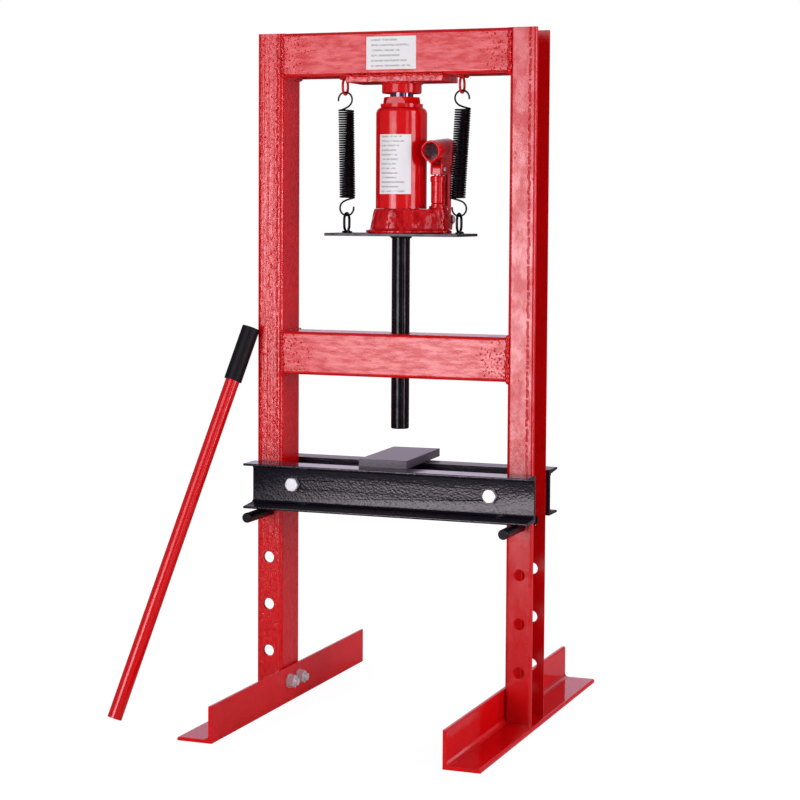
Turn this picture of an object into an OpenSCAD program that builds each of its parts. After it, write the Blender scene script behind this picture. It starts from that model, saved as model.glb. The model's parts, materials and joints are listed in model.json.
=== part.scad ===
// H-frame workshop press. A bottle jack stands on a carrier plate that two return
// springs hold up under the top beam, and its ram pushes the plate and rod down.
// X runs to the right, Y to the rear and Z up. The origin is on the floor, midway
// between the two uprights.

/* [Frame] */
// Height of the frame above the floor
frame_h = 940; // [900:5:1200]
// Clear width between the webs of the two uprights
inside_w = 330; // [320:5:450]
// Depth of the uprights and the beams, front to rear
leg_depth = 63; // [58:1:76]
// Width of an upright's flanges
leg_flange = 38; // [34:1:50]
// Wall of the upright channel
leg_wall = 5; // [4:0.5:6]
// Outside bend radius of the upright channel
leg_bend_r = 6; // [5.5:0.5:8]
// Rounding on the outer edge of the flange toes
leg_toe_r = 4; // [2:0.5:4]
// Height of the two cross beams
beam_h = 60; // [50:1:76]
// Wall of the cross beams
beam_wall = 4.5; // [3:0.5:6]
// Outside corner radius of the cross beams
beam_round_r = 5; // [3.5:0.5:7]
// Distance from the top of the frame down to the top of the middle beam
mid_beam_drop = 413; // [400:1:450]

/* [Support holes] */
// Diameter of the support holes
hole_d = 16; // [14.8:0.1:20]
// Number of hole levels
hole_count = 4; // [2:1:4]
// Height of the lowest hole above the floor
first_hole_z = 74.5; // [70:0.5:90]
// Distance between hole levels
hole_pitch = 66.5; // [60:0.5:80]
// Distance from the flange toe to the hole centre
hole_edge = 18; // [14:0.5:20]
// Hole level that carries the bolster
bolster_level = 4; // [3:1:4]

/* [Feet] */
// Length of an angle iron foot
foot_len = 525; // [420:5:640]
// Leg width of the angle iron
foot_leg = 50; // [46:1:60]
// Wall of the angle iron
foot_wall = 5; // [4:0.5:6]
// Rounding on the inner edges of the angle iron's toes
foot_toe_r = 2.5; // [1:0.5:4]
// Diameter of the foot bolts
foot_bolt_d = 10; // [8:1:10]
// Distance between the two bolts of a foot
foot_bolt_pitch = 33; // [26:0.5:33]
// Height of the foot bolts above the floor
foot_bolt_z = 30; // [22:0.5:34]

/* [Bolster] */
// Height of the bolster channels
bolster_h = 63; // [55:1:76]
// Flange width of the bolster channels
bolster_flange = 38; // [34:1:46]
// Web of the bolster channels
bolster_web = 5; // [4:0.5:7]
// Flange thickness at the root and at the toe
bolster_root_t = 6; // [5:0.5:8]
bolster_toe_t = 3.2; // [2.5:0.1:5]
// Overhang of the bolster past each upright
bolster_over = 4; // [0:0.5:20]
// Diameter of the bolster bolts
bolster_bolt_d = 12; // [10:1:14]
// Height of the bolster bolts above the underside of the bolster
bolster_bolt_rise = 33; // [26:0.5:36]
// Distance of the bolster bolts from an upright's web
bolster_bolt_in = 20; // [14:0.5:30]
// Width, depth and thickness of the loose arbor plate
arbor_w = 70; // [60:1:110]
arbor_d = 157; // [152:1:170]
arbor_t = 11.5; // [10:0.5:20]
// Place of the arbor plate: right of the rod's axis, behind it, and its turn
arbor_x = -13.5; // [-20:0.5:20]
arbor_y = 36.5; // [0:0.5:37]
arbor_turn = 3.3; // [-5:0.1:5]
// Diameter of the support pins
pin_d = 14; // [12:0.5:14]
// Length of the support pins
pin_len = 165; // [150:1:180]
// How far the pins stand out in front of the uprights
pin_front = 73; // [60:1:80]

/* [Press head] */
// Clear height between the rod and the arbor plate at rest
rod_gap = 39.9; // [20:0.1:60]
// Diameter of the press rod
rod_d = 25; // [20:0.5:30]
// Width, depth and thickness of the carrier plate
carrier_w = 194; // [190:1:220]
carrier_d = 85; // [80:1:96]
carrier_t = 4; // [3:0.5:6]
// Width and thickness of the thrust plate under the top beam
thrust_w = 141; // [110:1:144]
thrust_t = 9; // [6:0.5:12]
// Diameter and depth of the ram cap
cap_d = 54.5; // [48:0.5:60]
cap_h = 14.5; // [11:0.5:18]

/* [Return springs] */
// Outer diameter of the coils
coil_d = 22.6; // [18:0.1:23]
// Wire of the springs
coil_wire = 2.4; // [2:0.1:2.8]
// Number of coils
coil_turns = 38; // [20:1:44]
// Radius of the end hooks
hook_r = 10.3; // [8:0.1:11]
// Distance of the upper and the lower rings from the middle of the frame
upper_ring_x = 86; // [84:0.5:88]
lower_ring_x = 83; // [82:0.5:86]
// Distance of the rings behind the middle of the frame
ring_y = 5; // [0:0.5:10]
// Wire, width and height of the rings
ring_wire = 3.6; // [3:0.1:5]
ring_w = 22; // [18:0.5:26]
upper_ring_h = 25; // [22:0.5:28]
lower_ring_h = 29; // [24:0.5:32]

/* [Bottle jack] */
// Diameter of the reservoir
tank_d = 70; // [64:0.5:72]
// Wall of the reservoir
tank_wall = 3; // [2:0.5:4]
// Height of the reservoir above the base
tank_h = 138.4; // [120:0.1:170]
// Radius of the reservoir's shoulder
tank_shoulder_r = 7; // [4:0.5:8]
// Height of the base casting
base_h = 33.6; // [30:0.1:40]
// Radius of the base at its foot and at its top
base_foot_r = 48.5; // [44:0.5:52]
base_top_r = 37.5; // [36.5:0.5:42]
// Thickness of the lip round the foot
base_lip_t = 4.8; // [2:0.1:5]
// Inner and outer diameter of the working cylinder
bore_d = 38; // [36:0.5:42]
cylinder_d = 48; // [44:0.5:54]
// Diameter of the ram
ram_d = 32; // [26:0.5:33]
// How much of the ram shows between the cap and the top nut
ram_show = 5.5; // [3:0.5:20]
// Diameter and height of the collar on the reservoir
collar_d = 58; // [55:0.5:60]
collar_h = 5; // [3:0.5:7]
// Size across flats and height of the top nut
top_nut_af = 47; // [44:0.5:50]
top_nut_h = 9; // [7:0.5:12]

/* [Pump] */
// Distance of the pump from the jack's axis
pump_x = 54; // [52.5:0.5:55]
// Diameter of the pump cylinder and of its collar
pump_d = 19.5; // [17:0.5:21]
pump_collar_d = 21.5; // [20:0.5:23]
// Diameter of the pump piston
piston_d = 11; // [9:0.5:11]
// Height of the pump boss and of the pump cylinder's top above the carrier plate
boss_h = 38; // [36:0.5:42]
pump_h = 79; // [70:0.5:79.5]
// Height of the lever's two pins above the carrier plate
lever_pin_h = 88; // [87:0.5:92]
// Distance between the lever's two pins
lever_arm = 30; // [28:0.5:34]
// Height of the link's lower pin above the carrier plate
lug_pin_h = 19; // [16:0.5:22]
// Inner diameter and wall of the handle socket
socket_bore = 22; // [20.6:0.1:22.5]
socket_wall = 3; // [2:0.5:3]
// Height of the socket's axis above the carrier plate
socket_h = 114.5; // [111:0.5:116]
// Ends of the socket in front of and behind the piston
socket_front = 32; // [24:1:36]
socket_rear = 36; // [30:1:56]
// Tilt of the socket, nose down, with the pump piston fully down
socket_tilt = 4.5; // [0:0.5:8]
// Gap between the socket's two ears
ear_gap = 12; // [11.6:0.1:13]
// Diameters of the link pins and of the piston pin
link_pin_d = 8; // [6:0.5:9]
piston_pin_d = 6; // [5:0.5:7]

/* [Handle] */
// Length of the pump handle with its grip
handle_len = 567; // [480:1:640]
// Outer diameter and wall of the handle tube
handle_d = 20; // [18:0.5:20.4]
handle_wall = 2; // [1.5:0.5:3]
// Diameter and length of the grip
grip_d = 25; // [23:0.5:30]
grip_len = 78; // [60:1:120]
// Lean of the handle away from vertical
handle_lean = 21.54; // [18:0.01:26]
// Heading of the lean, measured from +X towards +Y
handle_heading = 52.6; // [45:0.1:60]

/* [Labels] */
// Width, height and thickness of the blank label on the top beam
beam_label_w = 72; // [40:1:100]
beam_label_h = 44.5; // [20:0.5:46]
label_t = 0.3; // [0.2:0.1:0.6]
// Sideways offset of the beam label
beam_label_x = -3.8; // [-20:0.1:20]
// Height of the blank label on the jack and of its lower edge above the base
jack_label_h = 81; // [40:1:90]
jack_label_z = 20; // [10:0.5:30]
// Start and sweep of the jack label round the reservoir, from the front
jack_label_from = -35; // [-60:1:0]
jack_label_sweep = 78; // [40:1:100]

/* [Clearances] */
// Radial clearance of a running fit
run_gap = 0.08; // [0.02:0.01:0.1]
// Gap between pieces that rest on each other but move apart
rest_gap = 0.3; // [0.3:0.05:0.5]
// Clearance between the bolster channels and the uprights
slide_gap = 0.4; // [0.3:0.1:1]
// Radial clearance of a bolt in its hole
bolt_gap = 0.5; // [0.3:0.1:1]

/* [Hidden] */
$fn = 72;
cut = 1;
half_in = inside_w / 2;
toe_x = half_in + leg_flange;
hole_x = toe_x - hole_edge;
foot_top = foot_wall;
// Ratio of a hexagon's width across corners to its width across flats
hex_k = 2 / sqrt(3);
foot_nut_af = 1.6 * foot_bolt_d;
foot_nut_t = 0.84 * foot_bolt_d;
foot_head_t = 0.64 * foot_bolt_d;
foot_washer_d = 2 * foot_bolt_d;
washer_t = 2;
foot_bolt_proud = 4;
bolster_nut_af = 1.5 * bolster_bolt_d;
bolster_nut_t = 0.9 * bolster_bolt_d;
bolster_head_t = 0.625 * bolster_bolt_d;
bolster_washer_d = 2 * bolster_bolt_d;
spacer_wall = 4;
spacer_d = bolster_bolt_d + 2 * (bolt_gap + spacer_wall);
bolster_fillet_r = 4;
// Stack of heights from the floor up to the arbor plate
level_z = first_hole_z + (bolster_level - 1) * hole_pitch;
pin_z = level_z - hole_d / 2 + pin_d / 2 + rest_gap;
bolster_z = pin_z + pin_d / 2 + rest_gap;
arbor_z = bolster_z + bolster_h;
arbor_top = arbor_z + arbor_t;
bolster_face = leg_depth / 2 + slide_gap;
bolster_len = 2 * (toe_x + bolster_over);
bolt_row_x = half_in - bolster_bolt_in;
bolt_row_z = bolster_z + bolster_bolt_rise;
// Stack of heights from the top of the frame down to the rod
top_beam_z = frame_h - beam_h;
mid_beam_z = frame_h - mid_beam_drop - beam_h;
thrust_z = top_beam_z - thrust_t;
cap_z = thrust_z - cap_h;
nut_top = cap_z - ram_show;
collar_z = nut_top - top_nut_h - collar_h;
tank_z = collar_z - tank_h;
jack_z = tank_z - base_h;
carrier_z = jack_z - carrier_t;
rod_z = arbor_top + rod_gap;
cap_recess = 6;
cap_recess_d = ram_d + 1;
ram_top = cap_z + cap_recess;
floor_t = 12;
bore_z = jack_z + floor_t;
seal_h = 10;
ram_z = bore_z + 3;
sleeve_d = rod_d + 9;
beam_hole_d = rod_d + 3;
// Jack details
boss_foot_r = 19.5;
base_step = 5;
boss_step = 2.5;
boss_top_r = 14;
pump_z = jack_z + 24;
piston_z = pump_z + 4;
lever_z = jack_z + lever_pin_h;
lug_z = jack_z + lug_pin_h;
socket_z = jack_z + socket_h;
ear_t = socket_wall;
ear_r = 8;
ear_half = ear_gap / 2 + ear_t;
link_w = ear_gap - 2 * rest_gap;
link_r = 7.5;
fork_out = ear_gap / 2 + 5;
pin_head = 1.5;
pin_head_d = link_pin_d + 2;
eye_r = 7.2;
eye_below = 7.5;
// Play of the piston pin in its slot, along and across the lever
slot_play_y = 1.1;
slot_play_z = 0.5;
socket_wrap = 38;
valve_x = 18;
valve_h = 17;
valve_d = 13;
valve_stem_d = 8;
valve_proud = 14;
valve_in = 14;
plug_h = 116;
plug_d = 10;
plug_head_d = 15;
coil_r = coil_d / 2;
// Height from the inside of a ring to the centre of the hook in it
hook_in = coil_wire / 2 - hook_r;
upper_hook_z = top_beam_z - upper_ring_h + ring_wire + hook_in + rest_gap / 3;
lower_hook_z = jack_z + lower_ring_h - ring_wire - hook_in - rest_gap;
spring_span = upper_hook_z - lower_hook_z;
spring_tilt = atan((upper_ring_x - lower_ring_x) / spring_span);
coil_end = hook_r + 4.2;
coil_len = spring_span / cos(spring_tilt) - 2 * coil_end;
coil_core_r = coil_r - coil_wire;
// Leaning handle: the rim of its foot is on the floor and the rim of its grip is
// at the rounded front edge of the left upright
handle_foot_z = handle_d / 2 * sin(handle_lean);
handle_reach = leg_toe_r + grip_d / 2 * cos(handle_lean) + rest_gap;
handle_run = handle_len * sin(handle_lean) + handle_reach;
handle_foot_x = -toe_x + leg_toe_r - handle_run * cos(handle_heading);
handle_foot_y = -leg_depth / 2 + leg_toe_r - handle_run * sin(handle_heading);
grip_cap_t = 3;

// Waste at an outside corner whose material lies towards +X and +Y
module corner_waste(r) {
    difference() {
        translate([-cut, -cut]) square(r + cut);
        translate([r, r]) circle(r = r);
    }
}

// Bent channel section: web on the Y axis, flanges towards +X
module leg_section() {
    inner_r = leg_bend_r - leg_wall;
    difference() {
        translate([0, -leg_depth / 2]) square([leg_flange, leg_depth]);
        difference() {
            translate([leg_wall, leg_wall - leg_depth / 2])
                square([leg_flange, leg_depth - 2 * leg_wall]);
            for (side = [0, 1]) mirror([0, side])
                translate([leg_wall, leg_wall - leg_depth / 2]) corner_waste(inner_r);
        }
        for (side = [0, 1]) mirror([0, side]) {
            translate([0, -leg_depth / 2]) corner_waste(leg_bend_r);
            translate([leg_flange, -leg_depth / 2]) mirror([1, 0]) corner_waste(leg_toe_r);
        }
    }
}

// Cylinder along Y whose front end is at the origin
module rod_y(d, len) {
    rotate([-90, 0, 0]) cylinder(d = d, h = len);
}

// Cylinder along X, centred on the origin
module rod_x(d, len) {
    rotate([0, 90, 0]) cylinder(d = d, h = len, center = true);
}

// Round bar along +Z with chamfered ends
module chamfered_bar(d, len, c) {
    rotate_extrude()
        polygon([
            [0, 0], [d / 2 - c, 0], [d / 2, c], [d / 2, len - c], [d / 2 - c, len], [0, len]
        ]);
}

// Hexagon with chamfered corners at its upper end, and at its lower end if both is set
module chamfered_hex(af, h, both = false) {
    r = af * hex_k / 2 + 0.1;
    flat_r = 0.475 * af;
    drop = (r - flat_r) * tan(30);
    foot = both ? [[flat_r, 0], [r, drop]] : [[r, 0]];
    intersection() {
        cylinder(d = af * hex_k, h = h, $fn = 6);
        rotate_extrude()
            polygon(concat([[0, 0]], foot, [[r, h - drop], [flat_r, h], [0, h]]));
    }
}

// Left or right upright, standing on its foot, with its row of support holes
module upright(side) {
    color("red")
    difference() {
        translate([side * half_in, 0, foot_top])
            mirror([side < 0 ? 1 : 0, 0, 0])
                linear_extrude(frame_h - foot_top) leg_section();
        for (level = [0 : hole_count - 1])
            translate([side * hole_x, -leg_depth / 2 - cut, first_hole_z + level * hole_pitch])
                rod_y(hole_d, leg_depth + 2 * cut);
        for (end = [-1, 1])
            translate([side * half_in, end * foot_bolt_pitch / 2, foot_bolt_z])
                rod_x(foot_bolt_d + 2 * bolt_gap, 4 * leg_wall);
    }
}
module upright_left() upright(-1);
module upright_right() upright(1);

// Closed box section across the Y and Z axes, as wide as the frame is clear
module box_beam(z) {
    corner_y = leg_depth / 2;
    inner_r = max(beam_round_r - beam_wall, 0.5);
    translate([-half_in, 0, z + beam_h / 2])
        rotate([90, 0, 90])
            linear_extrude(inside_w)
                difference() {
                    square([leg_depth, beam_h], center = true);
                    difference() {
                        square([leg_depth - 2 * beam_wall, beam_h - 2 * beam_wall], center = true);
                        for (a = [0, 1], b = [0, 1]) mirror([a, 0]) mirror([0, b])
                            translate([beam_wall - corner_y, beam_wall - beam_h / 2])
                                corner_waste(inner_r);
                    }
                    for (a = [0, 1], b = [0, 1]) mirror([a, 0]) mirror([0, b])
                        translate([-corner_y, -beam_h / 2]) corner_waste(beam_round_r);
                }
}

module top_beam() {
    color("red") box_beam(top_beam_z);
}

module mid_beam() {
    color("red")
    difference() {
        box_beam(mid_beam_z);
        translate([0, 0, mid_beam_z - cut]) cylinder(d = beam_hole_d, h = beam_h + 2 * cut);
    }
}

// Guide tube welded inside the middle beam, in which the rod slides
module rod_sleeve() {
    color("dimgray")
    translate([0, 0, mid_beam_z + beam_wall])
        difference() {
            cylinder(d = sleeve_d, h = beam_h - 2 * beam_wall);
            translate([0, 0, -cut])
                cylinder(d = rod_d + 2 * run_gap, h = beam_h);
        }
}

module thrust_plate() {
    color("red")
    translate([-thrust_w / 2, -leg_depth / 2, thrust_z]) cube([thrust_w, leg_depth, thrust_t]);
}

// Cup under the thrust plate that takes the end of the ram
module ram_cap() {
    color("red")
    translate([0, 0, cap_z])
        rotate_extrude()
            polygon([
                [cap_recess_d / 2, 0], [cap_d / 2 - 1, 0], [cap_d / 2, 1], [cap_d / 2, cap_h],
                [0, cap_h], [0, cap_recess], [cap_recess_d / 2, cap_recess]
            ]);
}

// Oval ring of round wire, standing on the origin in the YZ plane
module oval_ring(h) {
    r = (ring_w - ring_wire) / 2;
    straight = h - ring_w;
    translate([0, 0, ring_w / 2]) {
        rotate([90, 180, 90])
            rotate_extrude(angle = 180) translate([r, 0]) circle(d = ring_wire, $fn = 24);
        translate([0, 0, straight]) rotate([90, 0, 90])
            rotate_extrude(angle = 180) translate([r, 0]) circle(d = ring_wire, $fn = 24);
        for (side = [-1, 1])
            translate([0, side * r, 0]) cylinder(d = ring_wire, h = straight, $fn = 24);
    }
}

// Two rings under the top beam
module upper_rings() {
    color("red")
    for (side = [-1, 1])
        translate([side * upper_ring_x, ring_y, top_beam_z - upper_ring_h]) oval_ring(upper_ring_h);
}

// Two rings on the carrier plate
module lower_rings() {
    color("black")
    for (side = [-1, 1])
        translate([side * lower_ring_x, ring_y, jack_z]) oval_ring(lower_ring_h);
}

// Angle iron foot: one leg up against the upright's web, the other under it
module foot(side) {
    color("red")
    difference() {
        translate([side * (half_in - foot_wall), foot_len / 2, 0])
            mirror([side < 0 ? 1 : 0, 0, 0])
                rotate([90, 0, 0])
                    linear_extrude(foot_len)
                        difference() {
                            square(foot_leg);
                            translate([foot_wall, foot_wall]) square(foot_leg);
                            for (toe = [[foot_leg, foot_wall], [foot_wall, foot_leg]])
                                translate(toe) rotate(180) corner_waste(foot_toe_r);
                        }
        for (end = [-1, 1])
            translate([side * half_in, end * foot_bolt_pitch / 2, foot_bolt_z])
                rod_x(foot_bolt_d + 2 * bolt_gap, 4 * foot_wall);
    }
}
module foot_left() foot(-1);
module foot_right() foot(1);

// Puts its children at each foot bolt, with +Z pointing to the middle of the frame
module at_foot_bolts() {
    for (side = [-1, 1], end = [-1, 1])
        translate([side * (half_in - foot_wall), end * foot_bolt_pitch / 2, foot_bolt_z])
            rotate([0, -side * 90, 0]) children();
}

module foot_bolts() {
    shank = leg_wall + foot_wall;
    color("silver")
    at_foot_bolts() {
        translate([0, 0, -shank])
            cylinder(d = foot_bolt_d, h = shank + washer_t + foot_nut_t + foot_bolt_proud);
        translate([0, 0, -shank]) mirror([0, 0, 1]) chamfered_hex(foot_nut_af, foot_head_t);
    }
}

module foot_washers() {
    color("silver")
    at_foot_bolts()
        difference() {
            cylinder(d = foot_washer_d, h = washer_t);
            translate([0, 0, -cut]) cylinder(d = foot_bolt_d, h = washer_t + 2 * cut);
        }
}

module foot_nuts() {
    color("silver")
    at_foot_bolts()
        translate([0, 0, washer_t])
            difference() {
                chamfered_hex(foot_nut_af, foot_nut_t, both = true);
                translate([0, 0, -cut]) cylinder(d = foot_bolt_d, h = foot_nut_t + 2 * cut);
            }
}

// Rolled channel with its web against the uprights and tapered flanges pointing out
module bolster_channel(side) {
    difference() {
        translate([-bolster_len / 2, side * bolster_face, bolster_z])
            mirror([0, side < 0 ? 1 : 0, 0])
                rotate([90, 0, 90])
                    linear_extrude(bolster_len)
                        polygon([
                            [0, 0], [bolster_flange, 0], [bolster_flange, bolster_toe_t],
                            [bolster_web + bolster_fillet_r, bolster_root_t],
                            [bolster_web, bolster_root_t + bolster_fillet_r],
                            [bolster_web, bolster_h - bolster_root_t - bolster_fillet_r],
                            [bolster_web + bolster_fillet_r, bolster_h - bolster_root_t],
                            [bolster_flange, bolster_h - bolster_toe_t],
                            [bolster_flange, bolster_h], [0, bolster_h]
                        ]);
        for (end = [-1, 1])
            translate([end * bolt_row_x, -2 * bolster_face, bolt_row_z])
                rod_y(bolster_bolt_d + 2 * bolt_gap, 4 * bolster_face);
    }
}

module bolster_front() {
    color("dimgray") bolster_channel(-1);
}

module bolster_rear() {
    color("dimgray") bolster_channel(1);
}

// Puts its children at each bolster bolt, at the given distance behind the middle
module at_bolster_bolts(y) {
    for (end = [-1, 1]) translate([end * bolt_row_x, y, bolt_row_z]) rotate([-90, 0, 0]) children();
}

module bolster_bolts() {
    web_face = bolster_face + bolster_web;
    proud = washer_t + bolster_nut_t + foot_bolt_proud;
    color("silver")
    at_bolster_bolts(-web_face) {
        cylinder(d = bolster_bolt_d, h = 2 * web_face + proud);
        mirror([0, 0, 1]) chamfered_hex(bolster_nut_af, bolster_head_t);
    }
}

module bolster_washers() {
    color("silver")
    at_bolster_bolts(bolster_face + bolster_web)
        difference() {
            cylinder(d = bolster_washer_d, h = washer_t);
            translate([0, 0, -cut]) cylinder(d = bolster_bolt_d, h = washer_t + 2 * cut);
        }
}

module bolster_nuts() {
    color("silver")
    at_bolster_bolts(bolster_face + bolster_web + washer_t)
        difference() {
            chamfered_hex(bolster_nut_af, bolster_nut_t, both = true);
            translate([0, 0, -cut]) cylinder(d = bolster_bolt_d, h = bolster_nut_t + 2 * cut);
        }
}

// Tubes on the bolts that hold the two channels apart
module bolster_spacers() {
    color("dimgray")
    at_bolster_bolts(-bolster_face)
        difference() {
            cylinder(d = spacer_d, h = 2 * bolster_face);
            translate([0, 0, -cut])
                cylinder(d = bolster_bolt_d + 2 * bolt_gap, h = 2 * (bolster_face + cut));
        }
}

module arbor_plate() {
    color("gray")
    translate([arbor_x, arbor_y, arbor_z])
        rotate([0, 0, arbor_turn])
            translate([-arbor_w / 2, -arbor_d / 2, 0]) cube([arbor_w, arbor_d, arbor_t]);
}

// Pin under the bolster, through both flanges of an upright
module support_pin(side) {
    color("black")
    translate([side * hole_x, -leg_depth / 2 - pin_front, pin_z])
        rotate([-90, 0, 0]) chamfered_bar(pin_d, pin_len, 1);
}
module support_pin_left() support_pin(-1);
module support_pin_right() support_pin(1);

// Open hook of spring wire in the XZ plane, with a stem down to the coil
module spring_hook() {
    rotate([90, 0, 0])
        rotate_extrude(angle = 280)
            translate([hook_r, 0]) circle(d = coil_wire, $fn = 16);
}

// One end of a spring: hook, stem and the bar that joins it to the last coil
module spring_end() {
    bar_z = -coil_end;
    rotate([0, 10, 0]) spring_hook();
    translate([0, 0, bar_z]) cylinder(d = coil_wire, h = coil_end - hook_r + 0.3, $fn = 16);
    translate([0, 0, bar_z]) rod_x(coil_wire, coil_d - coil_wire, $fn = 16);
}

// Close-wound extension spring with its coils drawn as ribs on a tube
module spring(side) {
    pitch = coil_len / coil_turns;
    ribs = [for (i = [0 : coil_turns - 1], half = [0, 1])
        [half == 0 ? coil_core_r + coil_wire * 0.55 : coil_r, (i + half / 2) * pitch]];
    color("black")
    translate([side * upper_ring_x, ring_y, upper_hook_z])
        rotate([0, side * spring_tilt, 0])
            mirror([side < 0 ? 1 : 0, 0, 0]) {
                spring_end();
                translate([0, 0, -coil_end - coil_len])
                    rotate_extrude($fn = 32)
                        polygon(concat(
                            [[coil_core_r, 0]], ribs,
                            [[coil_core_r + coil_wire * 0.55, coil_len], [coil_core_r, coil_len]]
                        ));
                translate([0, 0, -2 * coil_end - coil_len]) rotate([0, 180, 0]) spring_end();
            }
}
module spring_left() spring(-1);
module spring_right() spring(1);

// Plate that the jack stands on, hung from the springs
module carrier_plate() {
    color("black")
    translate([-carrier_w / 2, -carrier_d / 2, carrier_z]) cube([carrier_w, carrier_d, carrier_t]);
}

// Rod that presses on the work, welded under the carrier plate
module press_rod() {
    color("black")
    translate([0, 0, rod_z]) chamfered_bar(rod_d, carrier_z - rod_z, 1);
}

// Outline of the base casting: the round foot and the pump boss in one
module base_blend(foot_r, boss_r, top_foot_r, top_boss_r, z, h) {
    hull() {
        translate([0, 0, z]) cylinder(r1 = foot_r, r2 = top_foot_r, h = h, $fn = 40);
        translate([pump_x, 0, z]) cylinder(r1 = boss_r, r2 = top_boss_r, h = h, $fn = 24);
    }
}

// Base casting with the pump boss, the link's fork and the drilled seats
module jack_base() {
    color("red")
    difference() {
        union() {
            base_blend(base_foot_r, boss_foot_r, base_foot_r, boss_foot_r, jack_z, base_lip_t);
            base_blend(base_foot_r - base_step, boss_foot_r - boss_step, base_top_r, boss_top_r,
                jack_z + base_lip_t, base_h - base_lip_t);
            translate([pump_x, 0, jack_z + base_h - 2])
                cylinder(r = pump_collar_d / 2 + 2, h = boss_h - base_h + 2);
            translate([pump_x - fork_out, 0, jack_z + base_lip_t])
                cube([2 * fork_out, lever_arm, lug_pin_h - base_lip_t + link_r]);
            translate([pump_x, lever_arm, lug_z]) rod_x(2 * link_r, 2 * fork_out);
        }
        // Seats of the working cylinder and the pump cylinder
        translate([0, 0, bore_z]) cylinder(d = cylinder_d, h = base_h);
        translate([pump_x, 0, pump_z]) cylinder(d = pump_d, h = boss_h);
        // Fork and pin hole of the link's lower end
        translate([pump_x - ear_gap / 2, lever_arm - link_r - 1.5, lug_z - link_r - 0.8])
            cube([ear_gap, 2 * link_r + 3, 2 * link_r + 2]);
        translate([pump_x, lever_arm, lug_z]) rod_x(link_pin_d + 2 * run_gap, 3 * fork_out);
        // Spot face that clears the pin's head on the jack's side
        translate([pump_x - 1.5 * fork_out, lever_arm, lug_z]) rod_x(pin_head_d + 2, fork_out);
        // Hole of the release valve, from the rear
        translate([valve_x, base_top_r - valve_in, jack_z + valve_h])
            rod_y(valve_stem_d + 2 * run_gap, base_foot_r);
    }
}

// Outer tube of the jack, closed at its shoulder
module jack_tank() {
    r = tank_d / 2;
    s = tank_shoulder_r;
    color("red")
    translate([0, 0, tank_z])
        difference() {
            rotate_extrude() {
                square([r, tank_h - s]);
                square([r - s, tank_h]);
                translate([r - s, tank_h - s]) circle(r = s);
            }
            translate([0, 0, -cut]) cylinder(r = r - tank_wall, h = tank_h - s - tank_wall + cut);
            translate([0, 0, -cut]) cylinder(d = cylinder_d, h = tank_h + 2 * cut);
            translate([0, 0, plug_h]) rod_y(plug_d, tank_d);
        }
}

// Inner working cylinder, from the base to the top of the collar
module jack_cylinder() {
    color("lightgray")
    translate([0, 0, bore_z])
        difference() {
            cylinder(d = cylinder_d, h = collar_z + collar_h - bore_z);
            translate([0, 0, -cut]) cylinder(d = bore_d, h = tank_h + base_h);
        }
}

module jack_collar() {
    color("red")
    translate([0, 0, collar_z])
        difference() {
            cylinder(d = collar_d, h = collar_h);
            translate([0, 0, -cut]) cylinder(d = cylinder_d, h = collar_h + 2 * cut);
        }
}

// Gland nut that guides the ram
module jack_top_nut() {
    color("red")
    translate([0, 0, collar_z + collar_h])
        difference() {
            intersection() {
                cylinder(d = top_nut_af * hex_k, h = top_nut_h, $fn = 6);
                cylinder(r1 = top_nut_af * 0.6, r2 = top_nut_af * 0.53, h = top_nut_h);
            }
            translate([0, 0, -cut]) cylinder(d = ram_d + 2 * run_gap, h = top_nut_h + 2 * cut);
        }
}

module jack_ram() {
    color("silver")
    translate([0, 0, ram_z + seal_h]) chamfered_bar(ram_d, ram_top - ram_z - seal_h, 1);
}

// Piston cup under the ram
module ram_seal() {
    color("black")
    translate([0, 0, ram_z]) cylinder(d = bore_d - 2 * run_gap, h = seal_h);
}

// Pump cylinder screwed into the boss
module pump_cylinder() {
    neck = 4;
    collar = 9;
    top = pump_h - pump_z + jack_z;
    color("red")
    translate([pump_x, 0, pump_z])
        rotate_extrude()
            polygon([
                [piston_d / 2 + run_gap, 0], [pump_d / 2, 0],
                [pump_d / 2, boss_h - pump_z + jack_z + neck / 2],
                [pump_d / 2 - 1.2, boss_h - pump_z + jack_z + neck / 2 + 1],
                [pump_d / 2, boss_h - pump_z + jack_z + neck],
                [pump_d / 2, top - collar], [pump_collar_d / 2, top - collar + 1],
                [pump_collar_d / 2, top - 1.5], [pump_collar_d / 2 - 1.5, top],
                [piston_d / 2 + run_gap, top]
            ]);
}

module pump_piston() {
    color("silver")
    translate([pump_x, 0, piston_z]) cylinder(d = piston_d, h = lever_z - eye_below - piston_z);
}

// Eye on top of the pump piston, between the socket's ears
module piston_eye() {
    eye_w = link_w - 0.4;
    color("red")
    translate([pump_x, 0, lever_z])
        difference() {
            union() {
                rod_x(2 * eye_r, eye_w);
                translate([-eye_w / 2, -eye_r, -eye_below]) cube([eye_w, 2 * eye_r, eye_below]);
            }
            rod_x(piston_pin_d, 2 * eye_w);
        }
}

// Pin through the piston's eye and the slots in the ears
module piston_pin() {
    color("silver")
    translate([pump_x, 0, lever_z]) rod_x(piston_pin_d, 2 * (ear_half + pin_head));
}

// Bar that joins the socket's ears to the fork of the base
module link_bar() {
    color("red")
    translate([pump_x, lever_arm, 0])
        difference() {
            union() {
                translate([-link_w / 2, -link_r, lug_z])
                    cube([link_w, 2 * link_r, lever_z - lug_z]);
                for (z = [lug_z, lever_z]) translate([0, 0, z]) rod_x(2 * link_r, link_w);
            }
            for (z = [lug_z, lever_z]) translate([0, 0, z]) rod_x(link_pin_d, 2 * link_w);
        }
}

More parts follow.
